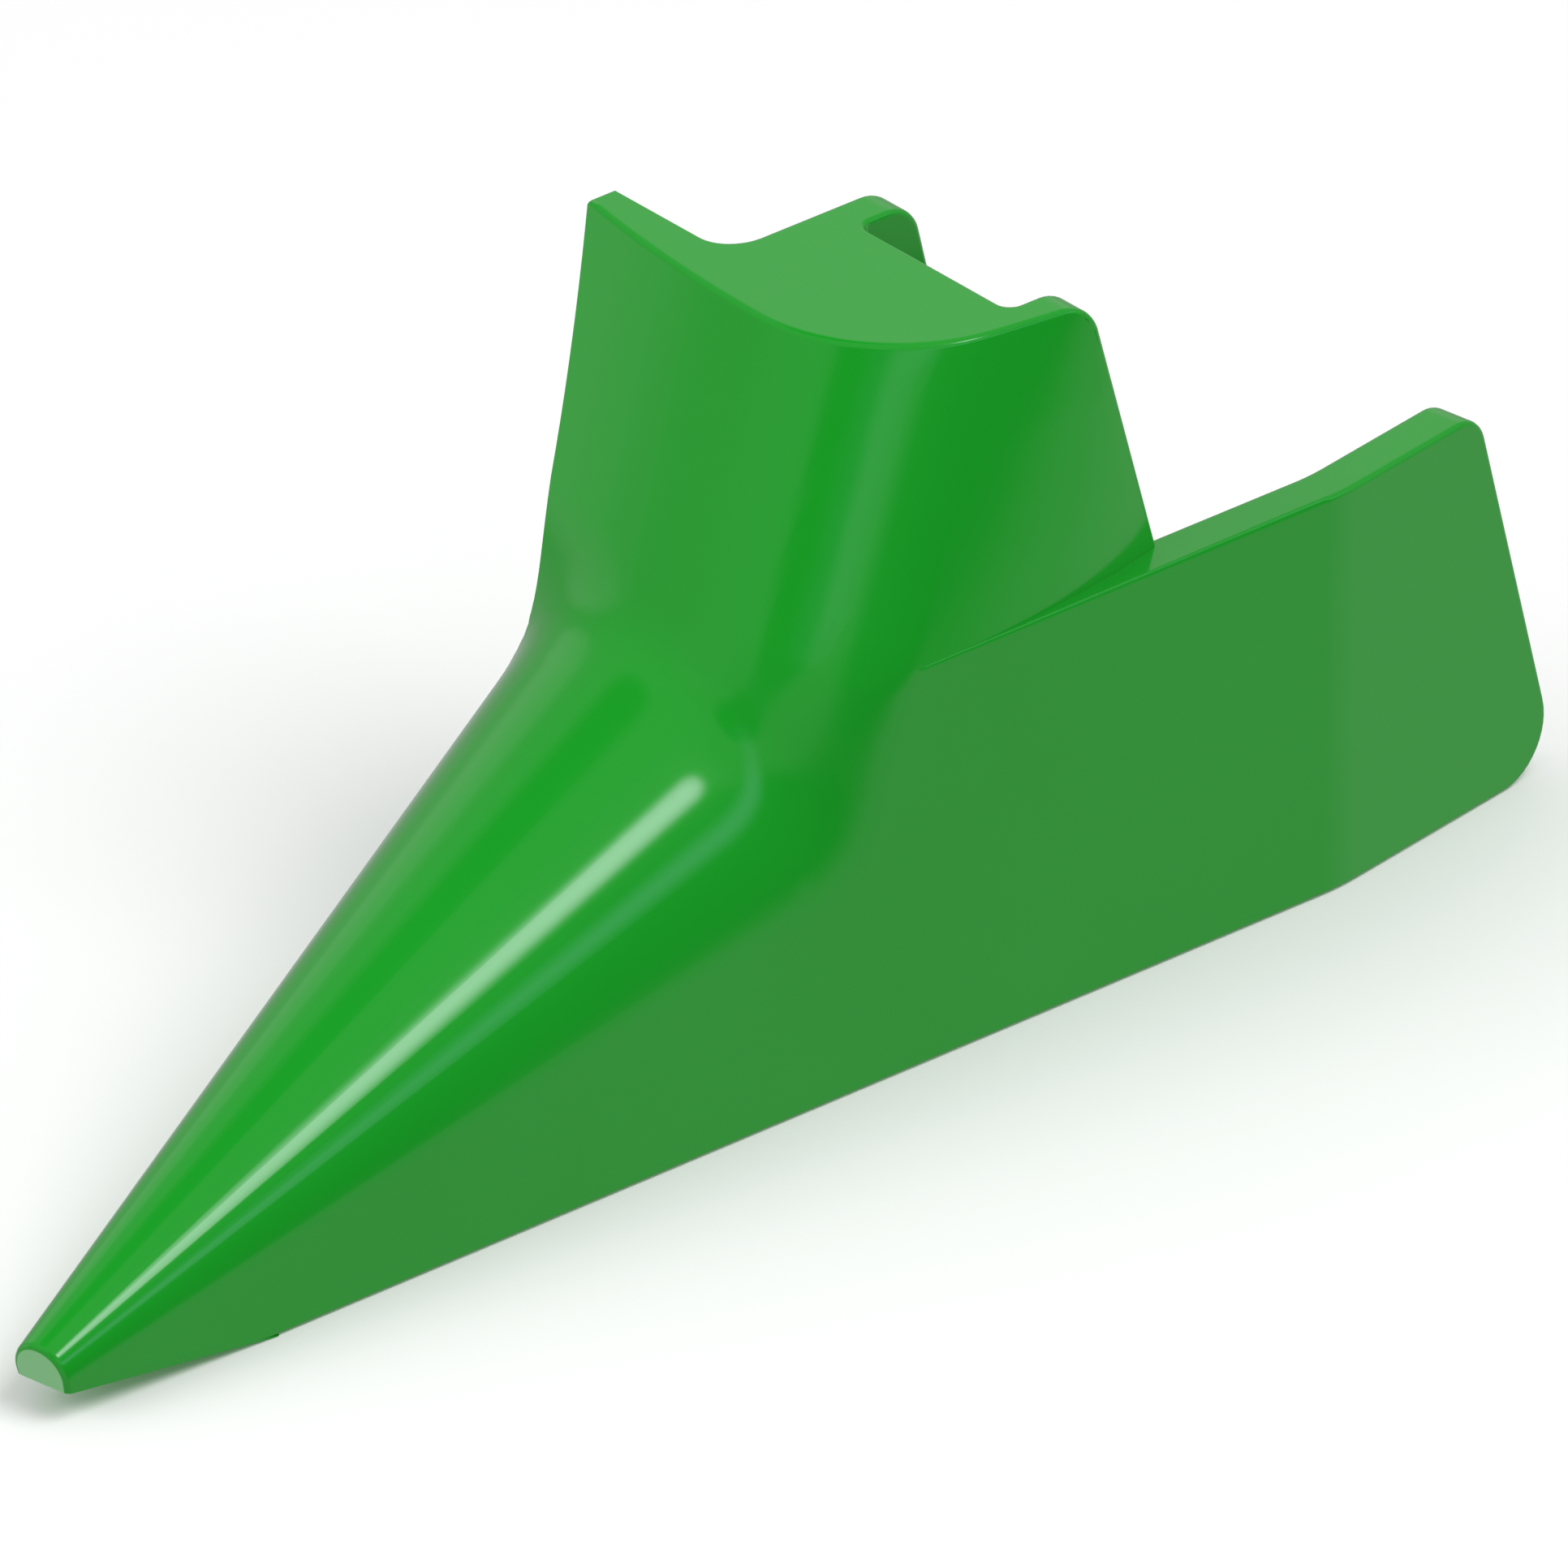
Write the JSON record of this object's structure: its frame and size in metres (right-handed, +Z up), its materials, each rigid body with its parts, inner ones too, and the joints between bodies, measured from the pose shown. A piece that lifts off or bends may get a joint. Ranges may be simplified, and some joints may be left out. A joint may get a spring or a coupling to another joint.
{
  "type": "coulter shoe",
  "caption": "Pointed ground-opener shoe with a cone nose, a leaning post with a side wing, a rear slot between two cheeks and a long bent landside plate.",
  "frame": {"origin": "on the flat sole, at the middle of the shoe's bounding box", "axes": "+Z up from the sole, -Y along the nose to the point, +Y to the tail, +X towards the landside plate"},
  "size_m": [0.0716, 0.2628, 0.099],
  "materials": {
    "green_enamel": "glossy enamel over a smooth hard casting",
    "insert_steel": "plain zinc-plated steel"
  },
  "bodies": {
    "root": {"shoe_body": "green_enamel", "lower_thread_insert": "insert_steel", "upper_thread_insert": "insert_steel"}
  },
  "joints": []
}
